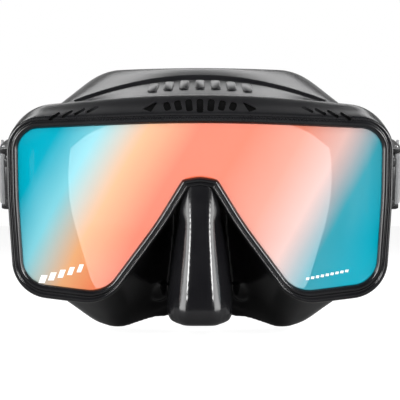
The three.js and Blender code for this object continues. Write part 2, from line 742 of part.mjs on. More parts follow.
// ---------- the skirt, joined and cut ----------
function onSide(made, mirror) {
  const matrix = new THREE.Matrix4()
    .makeTranslation(PIN_X, BUCKLE_BACK, BUCKLE_HEIGHT)
    .multiply(new THREE.Matrix4().makeRotationX(STRAP_PITCH));
  const flip = new THREE.Matrix4().makeScale(mirror ? -1 : 1, 1, 1);
  return made.transform(flip.multiply(matrix).elements.slice());
}

function skirt() {
  const outer = union([
    solid(skirtOuter()),
    solid(nose(0, FACE_DEPTH - 6)),
    onSide(bossSolid(), false),
    onSide(bossSolid(), true),
  ]);
  const window_ = solid(loft([ring(-20, GAP), ring(LENS_THICKNESS + 1, GAP)]));
  const cavity = union([solid(skirtInner()), solid(nose(SKIRT_WALL, FACE_DEPTH - 8))]);
  const bossCore = [false, true].map((m) => onSide(bossSolid(), m));
  const hollow = bossCore.reduce((a, b) => a.subtract(b), cavity);
  let made = outer.subtract(hollow).subtract(window_).subtract(solid(rimGroove()));
  for (const slot of combSlots()) made = made.subtract(solid(slot));
  for (const mirror of [false, true]) made = made.subtract(onSide(footSolid(GAP), mirror));
  return made;
}

// ---------- assembly ----------
const finish = (color, roughness, metalness = 0) =>
  new THREE.MeshStandardMaterial({ color, roughness, metalness });
const SILICONE = finish(0x111113, 0.3);
const HARD_BLACK = finish(0x0b0b0c, 0.25);
const GLASS = finish(0xffa08c, 0.05, 0.4);
const STEEL = finish(0xb8babd, 0.3, 1);
const STRAP = finish(0x141416, 0.45);

const mask = new THREE.Group();

function add(name, geometry, material, parent = mask) {
  const mesh = new THREE.Mesh(geometry, material);
  mesh.name = name;
  parent.add(mesh);
}

add("skirt", geometryOf(skirt()), SILICONE);
add("lens", lens(), GLASS);
add("stiffening_ring", stiffener(), HARD_BLACK);
add("strap_band", geometryOf(strapBand()), STRAP);

for (const side of ["left", "right"]) {
  const half = new THREE.Group();
  half.scale.x = side === "left" ? -1 : 1;
  const buckle = new THREE.Group();
  buckle.position.set(PIN_X, BUCKLE_BACK, BUCKLE_HEIGHT);
  buckle.rotation.x = STRAP_PITCH;
  half.add(buckle);
  mask.add(half);
  add(side + "_buckle_base", geometryOf(buckleBase()), HARD_BLACK, buckle);
  add(side + "_swivel_pin", geometryOf(swivelPin()), STEEL, buckle);
  add(side + "_buckle_frame", geometryOf(buckleFrame()), HARD_BLACK, buckle);
  add(side + "_roller", geometryOf(roller()), HARD_BLACK, buckle);
  add(side + "_lever_pin", geometryOf(leverPin()), STEEL, buckle);
  add(side + "_release_lever", geometryOf(lever()), HARD_BLACK, buckle);
  add(side + "_leaf_spring", geometryOf(leafSpring()), STEEL, buckle);
  add(side + "_strap_end", geometryOf(strapEnd()), STRAP, buckle);
  add(side + "_strap_keeper", geometryOf(keeper()), STRAP, buckle);
}

export default mask;
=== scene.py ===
"""The finished look of a single-lens diving mask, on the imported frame. Metres, +Z up, -Y front."""
import math

import bmesh
import bpy
from mathutils import Matrix, Vector


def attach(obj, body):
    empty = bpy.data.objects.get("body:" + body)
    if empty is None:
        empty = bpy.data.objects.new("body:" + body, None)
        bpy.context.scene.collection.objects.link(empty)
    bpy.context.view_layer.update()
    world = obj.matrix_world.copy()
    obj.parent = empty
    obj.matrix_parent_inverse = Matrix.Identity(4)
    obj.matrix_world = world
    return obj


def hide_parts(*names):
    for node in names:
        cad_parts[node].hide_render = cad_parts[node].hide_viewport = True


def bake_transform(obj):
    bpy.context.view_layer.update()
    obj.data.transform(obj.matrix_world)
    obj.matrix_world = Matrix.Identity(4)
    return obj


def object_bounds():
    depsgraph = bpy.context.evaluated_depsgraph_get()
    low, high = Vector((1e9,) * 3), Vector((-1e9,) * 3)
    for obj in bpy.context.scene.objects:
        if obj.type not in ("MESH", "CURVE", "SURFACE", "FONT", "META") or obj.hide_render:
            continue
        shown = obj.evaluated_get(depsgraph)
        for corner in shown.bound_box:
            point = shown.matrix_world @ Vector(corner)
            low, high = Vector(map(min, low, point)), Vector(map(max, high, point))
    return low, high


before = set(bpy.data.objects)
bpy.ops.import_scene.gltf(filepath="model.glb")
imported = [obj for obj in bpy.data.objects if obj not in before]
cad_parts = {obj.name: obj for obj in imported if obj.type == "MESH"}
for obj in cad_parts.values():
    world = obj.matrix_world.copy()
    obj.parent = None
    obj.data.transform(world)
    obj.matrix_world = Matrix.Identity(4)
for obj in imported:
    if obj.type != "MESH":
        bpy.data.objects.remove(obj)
cad_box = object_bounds()
MM = 0.001


# ---------- Lens ----------
# One flat pane of tempered glass. Its back is coated, so it mirrors teal, peach and pink from the
# front and still lets the face show. The skirt is moulded round its bevelled edge.
LENS_HALF = 78.3
BRIDGE = 12.0
LENS_DROP = 60.8
PANE_THICK = 3.8
PANE_BEVEL = 1.5
GAP = 0.3  # kept between pieces that touch
# Half of the pane's edge from the middle of the brow to the middle of the notch: x, z, radius.
LENS_CORNERS = [
    (0, BRIDGE, 800),
    (LENS_HALF, BRIDGE - 3.3, 9),
    (LENS_HALF - 0.5, -20, 250),
    (LENS_HALF - 3.1, LENS_DROP * -0.93, 11),
    (LENS_HALF * 0.525, -LENS_DROP, 13),
    (19, -BRIDGE - 19, 150),
    (7.7, -BRIDGE - 0.5, 2.6),
    (0, -BRIDGE + 0.8, 12),
]
EDGE_KINDS = ["brow", "side", "side", "bottom", "slope", "slope", "bridge"]
EDGE_STEPS = [60, 16, 20, 16, 22, 14, 3]
ARC_STEPS = [6, 16, 6, 16, 16, 6, 8, 4]
BROW_TAPER = 0.36


def smoothstep(v, low, high):
    t = min(1.0, max(0.0, (v - low) / (high - low)))
    return t * t * (3 - 2 * t)


def whole_loop(half):
    """A half list of corners, mirrored about the centreline into a full loop."""
    right = [(Vector((x, z)), r) for x, z, r in half]
    left = [(Vector((-x, z)), r) for x, z, r in half[-2:0:-1]]
    return right + left


def moved_out(corners, by):
    """The loop with each edge moved out by the distance that its kind asks for."""
    n = len(corners)
    kinds = EDGE_KINDS + EDGE_KINDS[::-1]
    edges = []
    for i in range(n):
        a, b = corners[i][0], corners[(i + 1) % n][0]
        along = (b - a).normalized()
        out = Vector((-along.y, along.x))
        edges.append((a + out * by[kinds[i]], along, by[kinds[i]]))
    result = []
    for i in range(n):
        a, u, s = edges[i - 1]
        b, v, t = edges[i]
        cross = u.x * v.y - u.y * v.x
        gap = b - a
        reach = (gap.x * v.y - gap.y * v.x) / cross
        turn = -1 if cross > 0 else 1
        result.append((a + u * reach, max(0.6, corners[i][1] + turn * (s + t) / 2)))
    return result


def rounded(corners):
    """Points round a loop: an arc at each corner, then evenly spaced points on each edge."""
    n = len(corners)
    half = n // 2
    arcs = []
    for i in range(n):
        at, r = corners[i]
        before, after = corners[i - 1][0], corners[(i + 1) % n][0]
        u, v = (at - before).normalized(), (after - at).normalized()
        bend = math.acos(max(-1, min(1, u.dot(v)))) / 2
        room = 0.49 * min((at - before).length, (after - at).length)
        back = min(r * math.tan(bend), room)
        steps = ARC_STEPS[i if i <= half else n - i]
        start, end = at - u * back, at + v * back
        weight = math.cos(bend)
        arc = []
        for k in range(steps + 1):
            t = k / steps
            a, b, c = (1 - t) ** 2, 2 * t * (1 - t) * weight, t * t
            arc.append((start * a + at * b + end * c) / (a + b + c))
        arcs.append(arc)
    points = []
    for i in range(n):
        steps = EDGE_STEPS[i if i < half else n - 1 - i]
        a, b = arcs[i][-1], arcs[(i + 1) % n][0]
        points += arcs[i]
        points += [a.lerp(b, k / (steps + 1)) for k in range(1, steps + 1)]
    return points


LENS_LOOP = whole_loop(LENS_CORNERS)


def ring(y, side, brow=None, bottom=None, notch=None):
    """The pane's outline moved out at depth y, with its own distance for brow, bottom and notch."""
    brow = side if brow is None else brow
    notch = side if notch is None else notch
    by = {"side": side, "brow": brow, "slope": notch, "bridge": notch}
    by["bottom"] = side if bottom is None else bottom
    points = []
    for p in rounded(moved_out(LENS_LOOP, by)):
        droop = BROW_TAPER * (brow - side) * (p.x / LENS_HALF) ** 2 * smoothstep(p.y, -10, BRIDGE)
        points.append(Vector((p.x, y, p.y - droop)))
    return points


def loft(name, loops, closed=False):
    """A mesh object through loops of equal count, in millimetres: capped, or joined into a ring."""
    n = len(loops[0])
    bm = bmesh.new()
    rows = [[bm.verts.new(p * MM) for p in loop] for loop in loops]
    pairs = len(loops) if closed else len(loops) - 1
    for k in range(pairs):
        a, b = rows[k], rows[(k + 1) % len(loops)]
        for i in range(n):
            j = (i + 1) % n
            bm.faces.new((a[i], a[j], b[j], b[i]))
    if not closed:
        bm.faces.new(rows[0][::-1])
        bm.faces.new(rows[-1])
    bmesh.ops.recalc_face_normals(bm, faces=bm.faces)
    mesh = bpy.data.meshes.new(name)
    bm.to_mesh(mesh)
    bm.free()
    obj = bpy.data.objects.new(name, mesh)
    bpy.context.scene.collection.objects.link(obj)
    return obj


def smooth(obj, degrees=35):
    """Smooth shading that keeps edges sharper than the angle."""
    obj.data.shade_smooth()
    obj.data.set_sharp_from_angle(angle=math.radians(degrees))


class Nodes:
    """A material's node tree, with short calls to add and join nodes."""

    def __init__(self, name):
        self.material = bpy.data.materials.new(name)
        self.material.use_nodes = True
        self.tree = self.material.node_tree
        self.shader = self.tree.nodes["Principled BSDF"]

    def add(self, kind, inputs=(), **settings):
        node = self.tree.nodes.new("ShaderNode" + kind)
        for key, value in settings.items():
            setattr(node, key, value)
        for key, value in dict(inputs).items():
            if isinstance(value, bpy.types.NodeSocket):
                self.tree.links.new(value, node.inputs[key])
            else:
                node.inputs[key].default_value = value
        return node

    def place(self, scale=(1, 1, 1), turn=(0, 0, 0)):
        """Object coordinates in metres, scaled and turned."""
        coords = self.add("TexCoord").outputs["Object"]
        mapped = self.add("Mapping", {"Vector": coords, "Scale": scale, "Rotation": turn})
        return mapped.outputs[0]

    def noise(self, scale, detail=3.0, at=None):
        where = self.place() if at is None else at
        made = self.add("TexNoise", {"Vector": where, "Scale": scale, "Detail": detail})
        return made.outputs["Fac"]

    def spread(self, value, low, high, start=0.0, end=1.0):
        """value from start..end mapped on to low..high."""
        made = self.add(
            "MapRange",
            {"Value": value, "From Min": start, "From Max": end, "To Min": low, "To Max": high},
        )
        return made.outputs["Result"]

    def ramp(self, value, stops):
        made = self.add("ValToRGB", {"Fac": value})
        marks = made.color_ramp.elements
        while len(marks) < len(stops):
            marks.new(0.5)
        for mark, (place, colour) in zip(marks, stops):
            mark.position = place
            mark.color = (*colour, 1)
        return made.outputs["Color"]

    def bump(self, height, strength, distance):
        made = self.add("Bump", {"Height": height, "Strength": strength, "Distance": distance})
        self.set("Normal", made.outputs["Normal"])

    def set(self, socket, value):
        if isinstance(value, bpy.types.NodeSocket):
            self.tree.links.new(value, self.shader.inputs[socket])
        else:
            self.shader.inputs[socket].default_value = value


lens = loft(
    "lens_pane",
    [
        ring(0, 0),
        ring(0.9, PANE_BEVEL),
        ring(PANE_THICK - 0.3, PANE_BEVEL),
        ring(PANE_THICK, PANE_BEVEL - 0.3),
    ],
)
smooth(lens, 20)

COAT_LEAN = math.radians(29)  # the coat's bands lean this far from upright
COAT_FROM, COAT_TO = -65 * MM, 85 * MM  # across the bands, from the first colour to the last
LAGOON, AQUA, TEAL = (0.0, 0.45, 0.6), (0.25, 0.7, 0.8), (0.05, 0.4, 0.5)
PEACH, CORAL, SALMON, BLUSH = (0.9, 0.45, 0.2), (0.9, 0.15, 0.05), (0.9, 0.3, 0.2), (0.85, 0.55, 0.5)
coat = Nodes("coated_glass")
leaning = coat.place(turn=(0, -COAT_LEAN, 0))
across = coat.add("SeparateXYZ", {"Vector": leaning}).outputs["X"]
drift = coat.spread(coat.noise(18, 1.0), -2.5 * MM, 2.5 * MM)
across = coat.add("Math", {0: across, 1: drift}, operation="ADD").outputs[0]
bands = [(0.05, LAGOON), (0.15, AQUA), (0.27, PEACH), (0.4, CORAL), (0.53, CORAL)]
bands += [(0.67, SALMON), (0.78, BLUSH), (0.88, TEAL), (1.0, LAGOON)]
coat_colour = coat.ramp(coat.spread(across, 0, 1, COAT_FROM, COAT_TO), bands)
coat.set("Base Color", coat_colour)
coat.set("Roughness", coat.spread(coat.noise(50, 4), 0.02, 0.06))
coat.set("Alpha", 0.58)
coat.set("Coat Weight", 0.5)
coat.set("Coat Roughness", 0.03)
lens.data.materials.append(coat.material)
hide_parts("lens")
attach(lens, "mask")


# ---------- Printed marks ----------
# Two small marks are screen-printed in white ink on the pane's lower corners: slanted bars on the
# wearer's right, and a row of short dashes like a glass maker's batch mark on the other side.
INK = 0.06
BARS, BAR_PITCH = 5, (4.1, 1.15)
DASHES, DASH_PITCH = 9, (2.1, 0.42)


def joined(name, parts):
    """One object from several closed pieces that don't touch."""
    bm = bmesh.new()
    for part in parts:
        bm.from_mesh(part.data)
        bpy.data.objects.remove(part)
    mesh = bpy.data.meshes.new(name)
    bm.to_mesh(mesh)
    bm.free()
    obj = bpy.data.objects.new(name, mesh)
    bpy.context.scene.collection.objects.link(obj)
    return obj


def print_bar(x, z, wide, high, slant):
    """A flat patch of ink on the pane, leaning to one side by its slant."""
    corners = [(0, 0), (wide, 0), (wide + slant, high), (slant, high)]
    return loft("bar", [[Vector((x + u, y, z + v)) for u, v in corners] for y in (-INK, 0)])


bars = []
for k in range(BARS):
    bars.append(print_bar(-69.5 + BAR_PITCH[0] * k, -57.2 + BAR_PITCH[1] * k, 2.7 - 0.2 * k, 3.4, 1.3))
for k in range(DASHES):
    bars.append(print_bar(45.5 + DASH_PITCH[0] * k, -55.9 + DASH_PITCH[1] * k, 1.35, 1.1, 0.3))
marks = joined("lens_marks", bars)
ink = Nodes("white_ink")
white = [(0.3, (0.8, 0.82, 0.82)), (0.7, (0.95, 0.96, 0.96))]
ink.set("Base Color", ink.ramp(ink.noise(900), white))
ink.set("Roughness", 0.5)
ink.bump(ink.noise(4000, 2), 0.1, 0.00005)
marks.data.materials.append(ink.material)
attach(marks, "mask")


# ---------- Stiffening ring ----------
# A hard nylon ring grips the pane's edge and carries the wing that shows in the comb slots of the
# brow. The skirt is moulded over it, so most of it can't be seen.
plastic = Nodes("hard_plastic")
grain = plastic.noise(1400, 4)
black = [(0.3, (0.008, 0.008, 0.009)), (0.7, (0.016, 0.016, 0.017))]
plastic.set("Base Color", plastic.ramp(plastic.noise(70), black))
plastic.set("Roughness", plastic.spread(grain, 0.22, 0.36))
plastic.bump(grain, 0.12, 0.00006)


def dress(node, material):
    """Gives a CAD node that keeps its own shape its finished material."""
    for slot in bpy.data.objects[node].material_slots:
        slot.material = material


nylon = Nodes("ring_nylon")
grit = nylon.noise(1400, 4)
# Partly the ring's own black, partly painted shade: darker than the other black plastic, so the comb slots
# look as dark as deep recesses.
black_and_slot_shade = [(0.3, (0.002, 0.002, 0.002)), (0.7, (0.004, 0.004, 0.004))]
nylon.set("Base Color", nylon.ramp(grit, black_and_slot_shade))
nylon.set("Roughness", nylon.spread(grit, 0.55, 0.7))
nylon.set("Specular IOR Level", 0.15)
nylon.bump(grit, 0.15, 0.00006)
dress("stiffening_ring", nylon.material)


# ---------- Skirt rim ----------
# The skirt's front is moulded round the pane: a raised lip against the glass, a groove, a rounded
# outer edge, and a sloping satin brow band with comb slots that show the ring beneath.
RIM_SIDE, RIM_BOTTOM, RIM_NOTCH = 5.2, 6.2, 4.4
COMB_PITCH, COMB_SIDE = 4.75, 4  # nine slots: four on each side of the middle one
GROOVES, GROOVE_PITCH = 4, 5.4
# Profile points out from the pane: y, side, brow, bottom, notch, rounding share.
RIM_PROFILE = [
    (0.0, 0.25, 0.25, 0.25, 0.25, 0),
    (-0.9, 0.75, 0.75, 0.75, 0.7, 0.4),
    (-1.55, 1.4, 1.4, 1.5, 1.2, 0.45),
    (-1.55, 2.3, 2.4, 2.6, 2.1, 0.45),
    (-0.7, 2.75, 3.0, 3.2, 2.6, 0.4),
    (-0.6, 3.2, 3.4, 3.9, 2.9, 0.4),
    (-1.15, 3.7, 3.8, 4.4, 3.2, 0.4),
    (-1.0, 4.7, 4.8, 5.6, 3.9, 0.45),
    (0.8, 5.15, 6.3, 6.15, 4.35, 0.45),
    (4.0, RIM_SIDE, 8.9, RIM_BOTTOM, RIM_NOTCH, 0.3),
    (7.6, 5.0, 12.2, 6.0, 4.2, 0.45),
    (9.6, 4.5, 13.5, 5.5, 3.8, 0.5),
    (11.4, 2.6, 12.1, 4.4, 3.2, 0.4),
    (11.4, 1.2, 1.2, 1.2, 1.2, 0),
    (4.4, 1.2, 1.2, 1.2, 1.2, 0),
    (4.2, 1.9, 1.9, 1.9, 1.9, 0),
    (0.75, 1.9, 1.9, 1.9, 1.9, 0),
]


def softened(profile, steps=4):
    """The closed profile with its corners rounded off, each by its own share of the room."""
    made = []
    n = len(profile)
    for i in range(n):
        here = Vector(profile[i][:5])
        share = profile[i][5]
        if not share:
            made.append(here)
            continue
        a = here.lerp(Vector(profile[i - 1][:5]), share)
        b = here.lerp(Vector(profile[(i + 1) % n][:5]), share)
        for k in range(steps + 1):
            t = k / steps
            made.append(a * (1 - t) ** 2 + here * 2 * t * (1 - t) + b * t * t)
    return made


rim_profile = softened(RIM_PROFILE)
rim = loft("skirt_rim", [ring(*p) for p in rim_profile], closed=True)


def cutter(name, outline, depth_from, depth_to, place):
    """A prism of the outline (x, z in mm), running along y, moved by the matrix."""
    loops = [[Vector((x, y, z)) for x, z in outline] for y in (depth_from, depth_to)]
    made = loft(name, loops)
    made.data.transform(place)
    return made


def rounded_box(wide, high, r, steps=3):
    """Outline points of a rectangle with rounded corners, centred."""
    points = []
    for cx, cz, start in ((1, 1, 0), (-1, 1, 90), (-1, -1, 180), (1, -1, 270)):
        for k in range(steps + 1):
            turn = math.radians(start + 90 * k / steps)
            x = cx * (wide / 2 - r) + r * math.cos(turn)
            points.append((x, cz * (high / 2 - r) + r * math.sin(turn)))
    return points


def cut(obj, tools, operation="DIFFERENCE"):
    """Applies booleans of the tools to the object and removes them."""
    for tool in tools:
        mod = obj.modifiers.new("cut", "BOOLEAN")
        mod.object = tool
        mod.operation = operation
        mod.solver = "MANIFOLD"
    apply_all(obj)
    for tool in tools:
        bpy.data.objects.remove(tool)


def apply_all(obj):
    """Makes the object's modifiers permanent."""
    bpy.context.view_layer.update()
    seen = bpy.context.evaluated_depsgraph_get()
    mesh = bpy.data.meshes.new_from_object(obj.evaluated_get(seen))
    mesh.materials.clear()
    mesh.polygons.foreach_set("material_index", [0] * len(mesh.polygons))
    obj.modifiers.clear()
    obj.data = mesh


slots = []
for step in range(-COMB_SIDE, COMB_SIDE + 1):
    outer = abs(step) == COMB_SIDE
    wide = 7.6 if outer else 2.9
    high = 6.4 - 0.85 * abs(step)
    x = step * COMB_PITCH * (1.1 if outer else 1)
    z = BRIDGE + 10.4 - 0.17 * step * step - high / 2
    outline = rounded_box(wide, high, 0.9)
    if outer:
        lean = 1 if step > 0 else -1
        outline = [(px * (0.5 + pz / high) + lean * (0.5 - pz / high), pz) for px, pz in outline]
    place = Matrix.Translation(Vector((x, 0, z)) * MM) @ Matrix.Rotation(step * 0.12, 4, "Y")
    slots.append(cutter("slot", outline, -5, 7.4, place))
cut(rim, slots)

# Shallow fanned grooves near each end of the brow.
grooves = []
for lean in (-1, 1):
    for k in range(GROOVES):
        at = Vector((lean * (46.5 + GROOVE_PITCH * k), 0, BRIDGE + 5.6 - 1.05 * k))
        turn = Matrix.Rotation(lean * (0.5 + 0.05 * k), 4, "Y")
        place = Matrix.Translation(at * MM) @ turn
        grooves.append(cutter("groove", rounded_box(5.6, 1.3, 0.6), -5, 4.4 - 0.3 * k, place))
cut(rim, grooves)
smooth(rim, 30)

silicone = Nodes("skirt_silicone")
shade = [(0.3, (0.005, 0.005, 0.006)), (0.7, (0.010, 0.010, 0.011))]
silicone.set("Base Color", silicone.ramp(silicone.noise(60), shade))
height = silicone.add("SeparateXYZ", {"Vector": silicone.place()}).outputs["Z"]
# The mould is polished below the brow and blasted from there up.
satin = silicone.spread(height, 0, 1, 4 * MM, 16.5 * MM)
polish = silicone.spread(silicone.noise(35, 4), 0.13, 0.22)
blasted = silicone.spread(silicone.noise(1800, 3), 0.25, 0.36)
silicone.set("Roughness", silicone.add("Mix", {0: satin, 2: polish, 3: blasted}).outputs[0])
silicone.set("Specular IOR Level", 0.6)
silicone.bump(silicone.noise(1800, 3), 0.08, 0.00006)
rim.data.materials.append(silicone.material)
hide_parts("skirt")
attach(rim, "mask")


# ---------- Skirt body ----------
# The soft part of the same silicone moulding runs back from the rim to the seal that lies on the
# face. It forms the nose pocket, the cheek lobes, the forehead panel and the bosses for the buckles.
FACE_DEPTH, FACE_CURVE = 44.0, 0.0063
WALL = 1.8
SEAL_TOP = BRIDGE + 27
SEAL_LOW = -LENS_DROP - 20.2
SEAL_FOLD = [
    (0, SEAL_TOP, 500),
    (LENS_HALF * 0.73, SEAL_TOP - 0.5, 26),
    (LENS_HALF * 0.888, -14, 140),
    (LENS_HALF * 0.67, SEAL_LOW + 4, 24),
    (LENS_HALF * 0.485, SEAL_LOW, 16),
    (LENS_HALF * 0.268, SEAL_LOW + 6.5, 24),
    (LENS_HALF * 0.13, SEAL_LOW + 8, 12),
    (0, SEAL_LOW + 8.5, 60),
]
SEAL_OPENING = [
    (0, SEAL_TOP - 13.5, 500),
    (LENS_HALF * 0.735, SEAL_TOP - 14.5, 13),
    (LENS_HALF * 0.811, -17, 80),
    (LENS_HALF * 0.626, SEAL_LOW + 17.5, 24),
    (LENS_HALF * 0.46, SEAL_LOW + 10.5, 14),
    (LENS_HALF * 0.281, SEAL_LOW + 14.5, 24),
    (LENS_HALF * 0.13, SEAL_LOW + 16, 12),
    (0, SEAL_LOW + 16.5, 60),
]


def face_loop(half, back=0):
    """A seal outline laid on the face, whose depth grows towards the temples."""
    flat = rounded(whole_loop(half))
    return [Vector((p.x, FACE_DEPTH + FACE_CURVE * p.x ** 2 + back, p.y)) for p in flat]


def part_way(a, b, share, push=0):
    """A loop between two others, pushed back by a distance."""
    return [p.lerp(q, share) + Vector((0, push, 0)) for p, q in zip(a, b)]


def moved_back(loop, by):
    return [p + Vector((0, by, 0)) for p in loop]


def pulled_in(loop, t, push=0):
    """The loop moved inwards by t in its own plane."""
    n = len(loop)
    made = []
    for i, p in enumerate(loop):
        before, after = loop[i - 1], loop[(i + 1) % n]
        along = Vector((after.x - before.x, after.z - before.z)).normalized()
        made.append(Vector((p.x + along.y * t, p.y + push, p.z - along.x * t)))
    return made


def through(stations, steps):
    """Loops on a smooth surface through the stations, by a Catmull-Rom curve on every spoke."""
    loops = []
    ends = [part_way(stations[1], stations[0], 2), part_way(stations[-2], stations[-1], 2)]
    rows = [ends[0], *stations, ends[1]]
    for k in range(1, len(rows) - 2):
        last = k == len(rows) - 3
        for j in range(steps + (1 if last else 0)):
            t = j / steps
            loop = []
            for p0, p1, p2, p3 in zip(*rows[k - 1:k + 3]):
                a = p1 * 2
                b = (p2 - p0) * t
                c = (p0 * 2 - p1 * 5 + p2 * 4 - p3) * t * t
                d = (p1 * 3 - p0 - p2 * 3 + p3) * t ** 3
                loop.append((a + b + c + d) / 2)
            loops.append(loop)
    return loops


fold = face_loop(SEAL_FOLD)
opening = face_loop(SEAL_OPENING, -4)
neck = ring(15, -1, 9.5, 2.5, 3.5)
start = ring(9.5, 3.2, 11.3, 4.6, 3.2)
outside = through(
    [
        start,
        neck,
        part_way(neck, fold, 0.55),
        fold,
        part_way(fold, opening, 0.3, 2.2),
        pulled_in(opening, 0.8),
    ],
    5,
)
inside = through(
    [
        ring(9.5, 1.2),
        pulled_in(neck, WALL, WALL),
        pulled_in(part_way(neck, fold, 0.55), WALL, WALL),
        pulled_in(fold, WALL, -1.4),
        part_way(fold, opening, 0.4, 0.4),
        moved_back(opening, -1.5),
    ],
    5,
)
body = loft("skirt_body", [ring(6, 2.4), *outside])
cavity = loft("cavity", [ring(2, 1.2), *inside, moved_back(opening, 60)])

NOSE_TOP = -BRIDGE - 1.5
NOSE_LENGTH, NOSE_REACH = 61.5, 13.8
# Sections from the notch down: share of length, share of reach, then half-widths in mm of the
# flat ridge, of the bevel beside it, and of the flanks.
NOSE_SECTIONS = [
    (0, -0.03, 4.2, 2.4, 7.6),
    (0.12, 0.17, 4.5, 3.6, 9.0),
    (0.22, 0.31, 4.5, 3.7, 9.4),
    (0.28, 0.39, 4.4, 2.1, 9.6),
    (0.42, 0.57, 4.6, 2.1, 10.2),
    (0.63, 0.81, 5.2, 2.5, 11.5),
    (0.84, 0.99, 5.9, 2.8, 12.8),
    (0.93, 1.0, 6.0, 2.6, 12.7),
    (0.98, 0.9, 5.7, 2.0, 11.2),
    (1, 0.7, 5.0, 1.4, 8.6),
]


def nose(name, skin, back):
    """The pocket's outside, or the same shape moved in by the thickness of its skin."""
    rows = []
    for share, reach, ridge, bevel, flank in NOSE_SECTIONS:
        z = NOSE_TOP - share * NOSE_LENGTH
        rows.append([Vector((ridge, -reach * NOSE_REACH, bevel)), Vector((flank, 0, z))])
    drop = RIM_NOTCH if skin else 0
    loops = []
    smoothed = through(rows, 4)
    for k, (ridge, flank) in enumerate(smoothed):
        share = k / (len(smoothed) - 1)
        half, wide = ridge.x - skin * 0.3, flank.x - skin
        front = ridge.y + skin
        z = flank.z - (1 - share) * drop + share * skin
        bevel = half + ridge.z
        side = [
            (half * 0.5, front - 0.1),
            (half - 0.7, front),
            (half + 0.1, front + 0.15),
            (half + 0.8, front + 0.65),
            (bevel - 0.4, front + ridge.z * 0.85),
            (bevel + 0.3, front + ridge.z + 0.4),
            (bevel + (wide - bevel) * 0.6, front + 7),
            (wide, front + 12),
            (wide + 1.2, front + 19),
            (wide + 1.5, back),
        ]
        right = [Vector((x, y, z)) for x, y in side]
        left = [Vector((-x, y, z)) for x, y in reversed(side)]
        loops.append(right + left)
    return loft(name, loops)


# Where a buckle's own frame lies: x out from the head, y back along the strap, z up its pin.
PIN_OUT = 5.2  # from the widest part of the pane out to the pin
PIN_X, PIN_Y, PIN_Z = LENS_HALF + PIN_OUT, 19.0, -13.5
STRAP_PITCH = math.radians(18)


def buckle_place(side):
    flip = Matrix.Scale(-1 if side == "left" else 1, 4, (1, 0, 0))
    at = Matrix.Translation(Vector((PIN_X, PIN_Y, PIN_Z)) * MM)
    return flip @ at @ Matrix.Rotation(STRAP_PITCH, 4, "X")


def seat(obj, side):
    """Moves a piece from the buckle's own frame to its side of the mask."""
    obj.data.transform(buckle_place(side))
    if side == "left":
        obj.data.flip_normals()
    return obj


def eased(corners, steps=4):
    """A closed outline from corners (x, y, radius), each rounded off by its radius."""
    points = []
    n = len(corners)
    for i in range(n):
        at, r = Vector(corners[i][:2]), corners[i][2]
        before, after = Vector(corners[i - 1][:2]), Vector(corners[(i + 1) % n][:2])
        if not r:
            points.append(at)
            continue
        u, v = (at - before).normalized(), (after - at).normalized()
        bend = math.acos(max(-1, min(1, u.dot(v)))) / 2
        back = min(r * math.tan(bend), 0.45 * (at - before).length, 0.45 * (after - at).length)
        a, c = at - u * back, at + v * back
        for k in range(steps + 1):
            t = k / steps
            points.append(a * (1 - t) ** 2 + at * 2 * t * (1 - t) + c * t * t)
    return points


def shrunk(points, by):
    """The outline moved inwards, corner by corner."""
    n = len(points)
    area = sum(points[i - 1].cross(points[i]) for i in range(n))
    turn = 1 if area > 0 else -1
    made = []
    for i in range(n):
        u = (points[i] - points[i - 1]).normalized()
        v = (points[(i + 1) % n] - points[i]).normalized()
        across = Vector((-u.y - v.y, u.x + v.x)) * turn
        if across.length > 1e-6:
            across = across.normalized() / max(0.5, math.sqrt(max(0.0, (1 + u.dot(v)) / 2)))
        made.append(points[i] + across * by)
    return made


def slab(name, outline, z0, z1, edge=0.3, steps=3):
    """A plate of the outline from z0 to z1 in the buckle's frame, with rounded edges."""
    outline = [Vector(p) for p in outline]
    levels = []
    for k in range(steps + 1):
        turn = math.pi / 2 * k / steps
        levels.append((edge * (1 - math.sin(turn)), edge * (1 - math.cos(turn))))
    rows = [(by, z0 + up) for by, up in levels] + [(by, z1 - up) for by, up in reversed(levels)]
    return loft(name, [[Vector((p.x, p.y, z)) for p in shrunk(outline, by)] for by, z in rows])


def boss(side):
    """The thick pad that grips the foot of the buckle's base."""
    outline = [(-9.7, -11, 0), (-6.3, -9, 0.6), (-5.3, -8.2, 1)]
    outline += [(-5.3, 6.2, 1), (-6.3, 7, 0.6), (-9.7, 10, 0)]
    return seat(slab("boss", eased(outline), -13.5, 13.5, 1.2), side)


SIDES = ["left", "right"]
cut(body, [nose("nose", 0, FACE_DEPTH - 6), *map(boss, SIDES)], "UNION")
cut(body, [cavity, nose("nose_space", WALL, FACE_DEPTH - 8)])
cut(body, list(map(boss, SIDES)), "UNION")


def melt(obj, voxel, rounds):
    """Remeshes a joined solid so that its joins run into each other as moulded silicone does."""
    mesher = obj.modifiers.new("remesh", "REMESH")
    mesher.mode = "VOXEL"
    mesher.voxel_size = voxel * MM
    soften = obj.modifiers.new("soften", "SMOOTH")
    soften.iterations = rounds
    soften.factor = 0.5
    apply_all(obj)


def on_body(x, z):
    """Where a line straight back at x, z meets the skirt, as a turned place on its surface."""
    _, at, normal, _ = body.ray_cast(Vector((x, -50, z)) * MM, Vector((0, 1, 0)))
    turn = normal.to_track_quat("Z", "Y").to_matrix().to_4x4()
    return Matrix.Translation(at) @ turn


# Domed grips beside the pocket, for the thumb and finger that pinch the nose.
GRIP_HALF, GRIP_RISE, GRIP_X, GRIP_Z = 5.6, 2.6, 18.2, -62.5


def dome():
    """A flattened ball, a little narrower than it is tall."""
    loops = []
    for degrees in range(-88, 90, 8):
        r = GRIP_HALF * math.cos(math.radians(degrees))
        z = GRIP_RISE * math.sin(math.radians(degrees))
        turns = [k * math.pi / 16 for k in range(32)]
        loops.append([Vector((r * 0.8 * math.cos(t), r * math.sin(t), z)) for t in turns])
    return loft("grip", loops)


